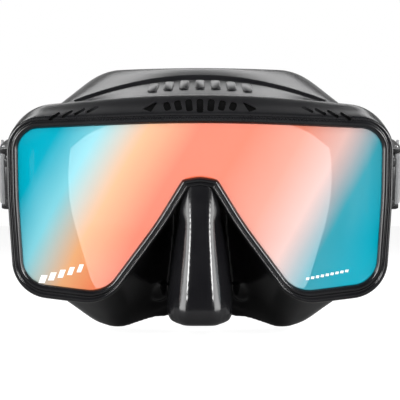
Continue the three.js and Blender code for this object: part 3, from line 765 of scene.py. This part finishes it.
grips = []
for lean in (-1, 1):
    grip = dome()
    grip.data.transform(on_body(lean * GRIP_X, GRIP_Z))
    grips.append(grip)
cut(body, grips, "UNION")
melt(body, 0.7, 10)

FOOT = [(-5, -6), (-3.4, -6), (-3.4, 3), (-5, 3)]
STEM = [(-7.4, -3.6), (-4.8, -3.6), (-4.8, 0.8), (-7.4, 0.8)]
ANCHOR = [(-7.8, -5), (-6.5, -5), (-6.5, 2.2), (-7.8, 2.2)]


def foot(name, side, grow=0.0, edge=0.25):
    """The base's plate, its stem through the boss and the head that holds it there."""
    parts = []
    for outline, half in ((FOOT, 12), (STEM, 5.5), (ANCHOR, 7.5)):
        corners = [Vector(p) for p in outline]
        parts.append(slab(name, shrunk(corners, -grow), -half - grow, half + grow, edge))
    cut(parts[0], parts[1:], "UNION")
    return seat(parts[0], side)


cut(body, [foot("pocket", side, GAP, 0.02) for side in SIDES])


# A row of plain raised ribs on the forehead, in a panel that is sunk under an arched crease.
ARCH_TOP, ARCH_DROP, ARCH_HALF = 35.0, 11.0, 54
PANEL_SINK, PANEL_LOW = 1.1, 22
PANEL_FRONT, PANEL_BACK = 11, 40
RIBS, RIB_PITCH = 7, 7.0


def sink_panel():
    """Sinks the forehead under an arch, so that a crease runs over the brow from side to side."""
    sunk = []
    for v in body.data.vertices:
        x, y, z = v.co / MM
        on_panel = z >= PANEL_LOW - 4 and PANEL_FRONT <= y <= PANEL_BACK and abs(x) <= ARCH_HALF + 2
        if not on_panel or v.normal.z < 0.4:
            continue
        crest = ARCH_TOP - ARCH_DROP * (x / ARCH_HALF) ** 2
        if z < crest:
            share = (z - PANEL_LOW) / max(1.0, crest - PANEL_LOW)
            by = PANEL_SINK * smoothstep(share, 0.0, 0.9) * smoothstep(crest - z, 0.0, 0.55)
            sunk.append((v.index, by * smoothstep(y, PANEL_FRONT, PANEL_FRONT + 6)))
    for i, by in sunk:
        body.data.vertices[i].co.z -= by * MM


sink_panel()
ribs = []
for k in range(RIBS):
    x = (k - (RIBS - 1) / 2) * RIB_PITCH
    rib = slab("rib", [Vector(p) for p in rounded_box(4.2, 8.5, 1.1)], -1.2, 0.55, 0.3)
    rib.data.transform(on_body(x, 30.2 - 0.0035 * x * x))
    ribs.append(rib)
cut(body, ribs, "UNION")
smooth(body, 40)
body.data.materials.append(silicone.material)
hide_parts("skirt")
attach(body, "mask")


# ---------- Buckle bases ----------
# A hard black base is pressed into each side boss by its T-shaped foot. Two ears stand out from
# its plate and hold the steel pin that the buckle swivels on.
EAR, EAR_AT = 2.9, 9.4  # an ear's radius, and how far along the pin its middle lies
PIN_RADIUS = 1.25


def turned(name, profile, at=(0, 0), sides=40):
    """A turned piece about the z axis at x, y: profile points are radius and z, end to end."""
    loops = []
    for r, z in profile:
        r = max(r, 0.02)
        turns = [2 * math.pi * k / sides for k in range(sides)]
        loops.append([Vector((at[0] + r * math.cos(t), at[1] + r * math.sin(t), z)) for t in turns])
    return loft(name, loops)


def rod(name, radius, z0, z1, at=(0, 0), ease=0.25):
    """A round bar with eased ends."""
    e = ease
    ends = [(radius - e, 0), (radius - 0.3 * e, 0.3 * e), (radius, e)]
    profile = [(r, z0 + up) for r, up in ends] + [(r, z1 - up) for r, up in reversed(ends)]
    return turned(name, profile, at)


def arc(cx, cy, r, start, end, steps=10):
    """Points on an arc about cx, cy, between two angles in degrees."""
    turns = [math.radians(start + (end - start) * k / steps) for k in range(steps + 1)]
    return [(cx + r * math.cos(t), cy + r * math.sin(t)) for t in turns]


for side in SIDES:
    base = foot(side + "_base", side)
    ear = [(-4.95, -4.3)] + arc(0, 0, EAR, -66, 114, 16) + [(-4.95, 1.0)]
    ears = [seat(slab("ear", ear, z - 1.5, z + 1.5, 0.35), side) for z in (EAR_AT, -EAR_AT)]
    cut(base, ears, "UNION")
    cut(base, [seat(rod("bore", PIN_RADIUS + GAP, -13, 13), side)])
    smooth(base)
    base.data.materials.append(plastic.material)
    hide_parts(side + "_buckle_base")
    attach(base, "mask")


# ---------- Pins and springs ----------
# Stainless pins: a headed one for the swivel and a plain one for the lever. A bowed leaf of spring
# steel under the lever's heel keeps its tooth on the strap.
LEVER_AT = (3.6, 7.6)
LEVER_PIN = 0.8
STRAP_WIDTH, STRAP_THICK = 22.0, 1.8
CHEEK_INNER = STRAP_WIDTH / 2 + 0.9
CHEEK_HALF = CHEEK_INNER + 2.2

steel = Nodes("steel")
streaks = steel.noise(120, 4, at=steel.place(scale=(1, 1, 14)))
steel.set("Base Color", steel.ramp(streaks, [(0.3, (0.42, 0.42, 0.43)), (0.7, (0.62, 0.62, 0.63))]))
steel.set("Metallic", 1.0)
steel.set("Roughness", steel.spread(streaks, 0.2, 0.38))
steel.bump(streaks, 0.1, 0.00004)

for side in SIDES:
    shank = [(1.0, -11.5), (PIN_RADIUS, -11.2), (PIN_RADIUS, 11.2), (1.9, 11.2)]
    head = [(1.95, 11.3), (1.95, 11.7), (1.75, 11.92), (1.2, 12.0)]
    pin = seat(turned(side + "_hinge_pin", shank + head), side)
    reach = CHEEK_HALF + 0.3
    axle = seat(rod(side + "_lever_axle", LEVER_PIN, -reach, reach, LEVER_AT), side)
    pieces = [(pin, "_swivel_pin", "mask"), (axle, "_lever_pin", side + "_buckle")]
    for piece, node, rides in pieces:
        smooth(piece)
        piece.data.materials.append(steel.material)
        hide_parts(side + node)
        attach(piece, rides)
    dress(side + "_leaf_spring", steel.material)


# ---------- Buckle frames ----------
# The swivelling frame is one black moulding: a barrel round the pin, a web, and two cheeks that
# carry the roller and the lever. Fine grip ridges run down the outside of the cheeks.
BARREL = 7.6
ROLLER_AT = (0, 17)
TRUNNION = 1.4
WEB_OUT = 0.7
RUNNING = 0.1  # clearance round what turns
CHEEK_OUT, CHEEK_TAPER = 5.2, 0.17
RIDGES, RIDGE_PITCH = 7, 1.3

for side in SIDES:
    ridges = []
    for k in range(RIDGES):
        y = 5.0 + RIDGE_PITCH * k
        x = CHEEK_OUT - CHEEK_TAPER * max(0.0, y - 10)
        ridges += [(x - 0.35, y), (x, y + 0.35), (x, y + 0.8)]
    cheek = [(-2.6, 3.9), (2.6, 3.9), (4.1, 4.2)] + ridges
    cheek += arc(*ROLLER_AT, 4, 2, 178, 16) + [(-4, 9), (-3.7, 6), (-3.2, 4.7)]
    frame_piece = slab(side + "_frame", cheek, CHEEK_INNER, CHEEK_HALF, 0.3)
    other = slab("cheek", cheek, -CHEEK_HALF, -CHEEK_INNER, 0.3)
    web = [(-2.6, 3.9, 0.4), (WEB_OUT, 3.9, 0.4), (WEB_OUT, 6.4, 0.4), (-2.6, 6.4, 0.4)]
    web = slab("web", eased(web), -CHEEK_HALF + 0.4, CHEEK_HALF - 0.4, 0.1)
    hub = [(-2.2, 1.4), (WEB_OUT, 1.2), (WEB_OUT, 6), (-2.4, 6), (-2.6, 4.2)]
    hub = slab("hub", [Vector(p) for p in hub], -BARREL, BARREL, 0.3)
    barrel = rod("barrel", EAR, -BARREL, BARREL)
    cut(frame_piece, [other, web, hub, barrel], "UNION")
    cut(frame_piece, [
        rod("bore", PIN_RADIUS + RUNNING, -9, 9),
        rod("bore", TRUNNION + RUNNING, -16, 16, ROLLER_AT),
        rod("bore", LEVER_PIN + RUNNING, -16, 16, LEVER_AT),
    ])
    seat(frame_piece, side)
    smooth(frame_piece)
    frame_piece.data.materials.append(plastic.material)
    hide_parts(side + "_buckle_frame")
    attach(frame_piece, side + "_buckle")


# ---------- Rollers ----------
# The strap turns round a hard roller whose ends run in the cheeks. Shallow rings along it let the
# strap slide when the lever is lifted.
ROLLER = 2.2
RINGS, RING_PITCH, RING_HALF = 13, 1.6, 0.35

for side in SIDES:
    half = STRAP_WIDTH / 2 + 0.5
    profile = [(TRUNNION - 0.3, -CHEEK_HALF), (TRUNNION, -CHEEK_HALF + 0.3), (TRUNNION, -half)]
    profile += [(ROLLER - 0.3, -half), (ROLLER, -half + 0.3)]
    for k in range(RINGS):
        z = (k - (RINGS - 1) / 2) * RING_PITCH
        profile += [(ROLLER, z - RING_HALF), (ROLLER - 0.2, z - 0.15)]
        profile += [(ROLLER - 0.2, z + 0.15), (ROLLER, z + RING_HALF)]
    profile += [(ROLLER, half - 0.3), (ROLLER - 0.3, half), (TRUNNION, half)]
    profile += [(TRUNNION, CHEEK_HALF - 0.3), (TRUNNION - 0.3, CHEEK_HALF)]
    bar = seat(turned(side + "_strap_roller", profile, ROLLER_AT), side)
    smooth(bar)
    bar.data.materials.append(plastic.material)
    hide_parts(side + "_roller")
    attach(bar, side + "_roller")


# ---------- Release levers ----------
# A pale grey moulded lever lies over the strap in each buckle. Its inner tooth bites on the strap,
# its ribbed tail is lifted with the thumb, and its heel stands on the leaf spring.
lever_plastic = Nodes("lever_plastic")
fine = lever_plastic.noise(1600, 4)
tint = [(0.3, (0.24, 0.245, 0.25)), (0.7, (0.3, 0.305, 0.31))]
lever_plastic.set("Base Color", lever_plastic.ramp(lever_plastic.noise(90), tint))
lever_plastic.set("Roughness", lever_plastic.spread(fine, 0.24, 0.38))
lever_plastic.bump(fine, 0.12, 0.00006)
LEVER_IN = ROLLER + GAP + STRAP_THICK + 0.6  # the lever's inner face clears the strap
HEEL_IN = LEVER_IN - 2.3
TOOTH = 0.45
PANEL_HALF = 3.9


def ribbed(start, end, count, depth):
    """Points from start to end whose surface rises in ribs, with grooves of the depth between."""
    start, end = Vector(start), Vector(end)
    along = end - start
    inwards = Vector((-along.y, along.x)).normalized() * depth
    points = []
    for k in range(count):
        for share, low in ((0.0, True), (0.25, False), (0.7, False), (0.95, True)):
            at = start + along * ((k + share) / count)
            points.append(at + inwards if low else at)
    return points


for side in SIDES:
    x = LEVER_IN
    outline = [(HEEL_IN, 4.0), (HEEL_IN + 0.2, 3.6), (HEEL_IN + 0.7, 3.5), (x - 0.3, 3.8)]
    outline += [(x + 0.55, 5.2), (x + 1.0, 6.6), (x + 1.2, 8.4), (x + 1.25, 10)]
    outline += [(x + 1.35, 14.5)]
    outline += ribbed((x + 1.4, 15.5), (x + 1.72, 24), 5, 0.5)
    outline += [(x + 1.78, 24.4), (x + 2.25, 26.6), (x + 2.1, 27.05), (x + 1.6, 27.3)]
    outline += [(x + 1.05, 27.1), (x + 0.5, 24.8), (x + 0.1, 22), (x, 20.5)]
    outline += [(x - TOOTH, 18.4), (x, 16.8)]
    outline += [(x, 10), (x - TOOTH, 9.3), (x - 2.1, 8.9), (x - 2.6, 8.2), (x - 2.7, 7.4)]
    half = CHEEK_INNER - GAP
    lever = slab(side + "_lever", outline, -half, half, 0.18)
    # A shallow panel with a raised bar along its middle lies between the pivot and the ribs.
    panel = [(x + 0.75, 8.9, 0), (x + 3, 8.9, 0), (x + 3, 14.2, 0), (x + 0.75, 14.2, 0)]
    panel = [slab("panel", eased(panel), z - PANEL_HALF, z + PANEL_HALF, 0.4) for z in (-5, 5)]
    cut(lever, [rod("bore", LEVER_PIN + RUNNING, -16, 16, LEVER_AT), *panel])
    seat(lever, side)
    smooth(lever)
    lever.data.materials.append(lever_plastic.material)
    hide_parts(side + "_release_lever")
    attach(lever, side + "_lever")


# ---------- Strap ----------
# One moulded silicone band with a bead along its edges, split in two behind the head. Each end is
# toothed, goes round its roller and folds back on itself. It is drawn in two halves that meet
# behind the head, because each follows its own buckle.
STRAP_BACK, STRAP_RISE = 187.0, 36.0
BACK_WIDTH = 24.0
SPLIT = 3.6
SPLIT_FROM = 0.4  # the share of the run from the buckle where the split opens
WRAP = ROLLER + GAP + STRAP_THICK / 2
TAIL_SEAT = -WRAP + STRAP_THICK + GAP
TAIL_END, TURN_END = 45.0, 52.0
TIP_ROUND = 5  # the tail's tip is rounded off over this length
BEAD = 0.3
TOOTH_PITCH, TOOTH_DEPTH = 1.6, 0.32
# The run from the buckle to behind the head, as shares of the way out, back and up.
STRAP_RUN = [(0.946, 0.36, 0.2), (0.85, 0.583, 0.34), (0.695, 0.77, 0.71), (0.431, 0.923, 0.94), (0, 1, 1)]


def spaced(points, step):
    """The same path with points evenly spaced along it, each with its distance from the start."""
    lengths = [0.0]
    for a, b in zip(points, points[1:]):
        lengths.append(lengths[-1] + (b - a).length)
    count = max(1, round(lengths[-1] / step))
    made = []
    i = 0
    for k in range(count + 1):
        want = lengths[-1] * k / count
        while i < len(points) - 2 and lengths[i + 1] < want:
            i += 1
        share = (want - lengths[i]) / (lengths[i + 1] - lengths[i])
        made.append((points[i].lerp(points[i + 1], share), want))
    return made


def curve_point(points, share):
    """A point between the middle two of four points, on the centripetal curve through them."""
    marks = [0.0]
    for a, b in zip(points, points[1:]):
        marks.append(marks[-1] + math.sqrt((b - a).length))
    t = marks[1] + (marks[2] - marks[1]) * share
    level = points
    for spans in ([(0, 1), (1, 2), (2, 3)], [(0, 2), (1, 3)], [(1, 2)]):
        made = []
        for (low, high), p, q in zip(spans, level, level[1:]):
            made.append(p.lerp(q, (t - marks[low]) / (marks[high] - marks[low])))
        level = made
    return level[0]


def strap_path():
    """The right half's centre line from the tail's end to behind the head, in two stretches."""
    to_world = buckle_place("right")
    tail = [(TAIL_SEAT, TAIL_END), (TAIL_SEAT, 31)]
    ends = [(TAIL_SEAT, 31), (TAIL_SEAT, 23), (WRAP, 25), (WRAP, 18)]
    for k in range(1, 17):
        t = k / 16
        share = [(1 - t) ** 3, 3 * t * (1 - t) ** 2, 3 * t * t * (1 - t), t ** 3]
        tail.append(tuple(sum(w * p[i] for w, p in zip(share, ends)) for i in range(2)))
    tail += arc(*ROLLER_AT, WRAP, 0, -180, 24)
    tail += [(-WRAP, 35), (-WRAP, TURN_END)]
    ends = [(to_world @ (Vector((x, y, 0)) * MM)) / MM for x, y in tail]
    start = (to_world @ (Vector((-WRAP, TURN_END + 0.6, 0)) * MM)) / MM
    after = (to_world @ (Vector((-WRAP, TURN_END + 14, 0)) * MM)) / MM
    stations = [start, after]
    for x, y, z in STRAP_RUN:
        depth = start.y + (STRAP_BACK - start.y) * y
        stations.append(Vector((PIN_X * x, depth, start.z + (STRAP_RISE - start.z) * z)))
    stations.append(Vector((-PIN_X * STRAP_RUN[-2][0], stations[-2].y, stations[-2].z)))
    before = stations[0] * 2 - stations[1]
    rows = [before, *stations]
    run = []
    for four in zip(rows, rows[1:], rows[2:], rows[3:]):
        run += [curve_point(four, j / 20) for j in range(20)]
    run.append(stations[-2])
    return ends, run


def strap_section(at, out, up, half, bead, tooth):
    """One section of the band: an edge bead on its outer face and teeth on its inner face."""
    h = STRAP_THICK / 2
    face = [(half, 0.5 * h), (half - 0.15, 0.85 * h), (half - 0.5, h), (half - 0.9, h + bead)]
    face += [(half - 1.7, h + bead), (half - 2.3, h), (half / 3, h)]
    outer = [(b, a) for b, a in face]
    outer += [(-b, a) for b, a in reversed(face)]
    under = [(half, -0.5 * h), (half - 0.15, -0.85 * h), (half - 0.5, -h), (half - 1.6, -h)]
    under += [(half - 1.9, tooth - h), (half / 3, tooth - h)]
    inner = [(-b, a) for b, a in under] + [(b, a) for b, a in reversed(under)]
    return [at + up * b + out * a for b, a in outer + inner]


def strap_sections():
    """Each section's share of the run, place, directions out and up, half-width, bead and tooth."""
    ends, run = strap_path()
    stations = spaced(ends, TOOTH_PITCH / 4)
    turned_length = stations[-1][1]
    stations += [(p, d + turned_length) for p, d in spaced([ends[-1], *run], 2.0)[1:]]
    whole = stations[-1][1]
    pin_up = Vector((0, -math.sin(STRAP_PITCH), math.cos(STRAP_PITCH)))
    sections = []
    for i, (at, d) in enumerate(stations):
        before, after = stations[max(0, i - 1)][0], stations[min(len(stations) - 1, i + 1)][0]
        along = (after - before).normalized()
        if i == len(stations) - 1:
            along = Vector((-1, 0, 0))
        share = max(0.0, (d - turned_length) / (whole - turned_length))
        up = pin_up.lerp(Vector((0, 0, 1)), min(1, 1.6 * share))
        up = (up - along * up.dot(along)).normalized()
        out = along.cross(up).normalized()
        wide = STRAP_WIDTH + (BACK_WIDTH - STRAP_WIDTH) * smoothstep(share, 0.3, 0.85)
        bead = BEAD * smoothstep(share, 0.02, 0.1)
        toothed = d < turned_length + 4 and i % 4 in (1, 2)
        tooth = TOOTH_DEPTH if toothed and 2 < i < len(stations) - 3 else 0
        round_off = 1.0
        if d < TIP_ROUND:
            round_off = math.sqrt(max(0.15, 1 - (1 - d / TIP_ROUND) ** 2))
        half = wide / 2 - (1 - round_off) * TIP_ROUND
        sections.append((share, at, out, up, half, bead, tooth))
    return sections


SECTIONS = strap_sections()


def split_half(share):
    """Half the height of the split: it opens roundly and is widest behind the head."""
    t = (share - SPLIT_FROM) / (1 - SPLIT_FROM)
    return SPLIT / 2 * min(1.0, math.sqrt(max(0.0, t) / 0.04)) * (0.45 + 0.55 * t) + 0.02


def split_space():
    """A plain solid along the band that cuts the split behind the head."""
    loops = []
    for share, at, out, up, *_ in SECTIONS:
        if share >= SPLIT_FROM:
            high, deep = up * split_half(share), out * 4
            loops.append([at + high + deep, at - high + deep, at - high - deep, at + high - deep])
    loops.append([p + Vector((-2, 0, 0)) for p in loops[-1]])
    return loft("split", loops)


strap_rubber = Nodes("strap_silicone")
dull = strap_rubber.noise(700, 4)
tint = [(0.3, (0.009, 0.009, 0.010)), (0.7, (0.017, 0.017, 0.018))]
strap_rubber.set("Base Color", strap_rubber.ramp(strap_rubber.noise(45), tint))
strap_rubber.set("Roughness", strap_rubber.spread(dull, 0.3, 0.46))
strap_rubber.bump(dull, 0.12, 0.00008)

for side in SIDES:
    strap = loft(side + "_strap_half", [strap_section(*section) for _, *section in SECTIONS])
    cut(strap, [split_space()])
    if side == "left":
        strap.data.transform(Matrix.Scale(-1, 4, (1, 0, 0)))
        strap.data.flip_normals()
    smooth(strap, 32)
    strap.data.materials.append(strap_rubber.material)
    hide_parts("strap_band", side + "_strap_end")
    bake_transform(strap)


# ---------- Strap keepers ----------
# A soft moulded loop on each side holds the strap's tail flat on the strap, and slides along it.
KEEPER_FROM, KEEPER_TO = 32.0, 37.0
KEEPER_WALL, KEEPER_EASE = 1.3, 0.35
KEEPER_IN = -WRAP - STRAP_THICK / 2 - GAP
KEEPER_OUT = TAIL_SEAT + STRAP_THICK / 2 + GAP


def loop_round_strap(grow, y):
    """A turn round the doubled strap at y, standing off from it by its growth."""
    wide, high = KEEPER_OUT - KEEPER_IN, STRAP_WIDTH + 2 * GAP
    points = rounded_box(wide + 2 * grow, high + 2 * grow, 0.3 + grow * 0.8)
    return [Vector(((KEEPER_OUT + KEEPER_IN) / 2 + u, y, v)) for u, v in points]


for side in SIDES:
    e = KEEPER_EASE
    rows = [(0, e), (0.3 * e, 0.3 * e), (e, 0), (KEEPER_WALL - e, 0)]
    rows += [(KEEPER_WALL - 0.3 * e, 0.3 * e), (KEEPER_WALL, e), (KEEPER_WALL, 2.0), (KEEPER_WALL - 0.3, 2.2)]
    loops = [loop_round_strap(grow, KEEPER_FROM + y) for grow, y in rows]
    loops += [loop_round_strap(grow, KEEPER_TO - y) for grow, y in reversed(rows)]
    keeper = seat(loft(side + "_keeper", loops, closed=True), side)
    smooth(keeper)
    keeper.data.materials.append(strap_rubber.material)
    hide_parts(side + "_strap_keeper")
    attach(keeper, side + "_keeper")


# ---------- Studio ----------
# A pale floor in a room that is dark but for a glow straight behind the mask. A strip light above,
# a panel at each side and a small box each side of the camera draw lines on the black silicone.
CAMERA_Z = -21.5
CAMERA_FAR = 700
CAMERA_SPAN = 172  # width in view at the pane
SENSOR = 36
floor_at = cad_box[0].z - MM
bm = bmesh.new()
bmesh.ops.create_grid(bm, x_segments=2, y_segments=2, size=3)
bmesh.ops.translate(bm, verts=bm.verts, vec=(0, 0, floor_at))
floor_mesh = bpy.data.meshes.new("floor")
bm.to_mesh(floor_mesh)
bm.free()
floor = bpy.data.objects.new("floor", floor_mesh)
bpy.context.scene.collection.objects.link(floor)
paint = Nodes("floor_paint")
pale = [(0.3, (0.2, 0.2, 0.2)), (0.7, (0.23, 0.23, 0.23))]
paint.set("Base Color", paint.ramp(paint.noise(3), pale))
paint.set("Roughness", 0.9)
paint.set("Emission Color", (1, 1, 1, 1))
first_sight = paint.add("LightPath").outputs["Is Camera Ray"]
paint.set("Emission Strength", paint.spread(first_sight, 0, 0.9))
floor.data.materials.append(paint.material)


class RoomNodes(Nodes):
    """The world's node tree, with the same short calls."""

    def __init__(self, world):
        world.use_nodes = True
        self.tree = world.node_tree
        self.tree.nodes.clear()


world = bpy.data.worlds.new("studio")
bpy.context.scene.world = world
room = RoomNodes(world)
towards = room.add("TexCoord").outputs["Generated"]
behind = room.add("SeparateXYZ", {"Vector": towards}).outputs["Y"]
glow = room.ramp(room.spread(behind, 0, 1, -1, 1), [(0.91, (0.015, 0.015, 0.015)), (1.0, (1, 1, 1))])
lit = room.add("Background", {"Color": glow}).outputs[0]
backdrop = room.add("Background", {"Color": (1, 1, 1, 1)}).outputs[0]
in_view = room.add("LightPath").outputs["Is Camera Ray"]
both = room.add("MixShader", {0: in_view, 1: lit, 2: backdrop}).outputs[0]
room.add("OutputWorld", {"Surface": both})


def softbox(name, at, size, watts, aim=(0, 0.02, -0.02)):
    """A rectangular lamp that faces the mask and isn't seen itself."""
    lamp = bpy.data.lights.new(name, "AREA")
    lamp.shape = "RECTANGLE"
    lamp.size, lamp.size_y = size
    lamp.energy = watts
    obj = bpy.data.objects.new(name, lamp)
    obj.location = at
    obj.rotation_euler = (Vector(aim) - Vector(at)).to_track_quat("-Z", "Y").to_euler()
    obj.visible_camera = False
    bpy.context.scene.collection.objects.link(obj)


softbox("line_above", (0, 0.62, 0.72), (1.4, 0.16), 4.2)
for lean in (-1, 1):
    softbox("side_panel", (lean * 0.8, -0.2, -0.02), (0.8, 0.9), 14)
    softbox("front_box", (lean * 0.75, -0.95, 0.45), (0.35, 0.35), 10.5)

camera = bpy.data.cameras.new("camera")
camera.sensor_width = SENSOR
camera.lens = SENSOR * CAMERA_FAR / CAMERA_SPAN
camera.clip_end = 20
view = bpy.data.objects.new("camera", camera)
view.location = Vector((0, -CAMERA_FAR, CAMERA_Z)) * MM
view.rotation_euler = (math.radians(90), 0, 0)
bpy.context.scene.collection.objects.link(view)
bpy.context.scene.camera = view
bpy.context.scene.view_settings.view_transform = "Standard"
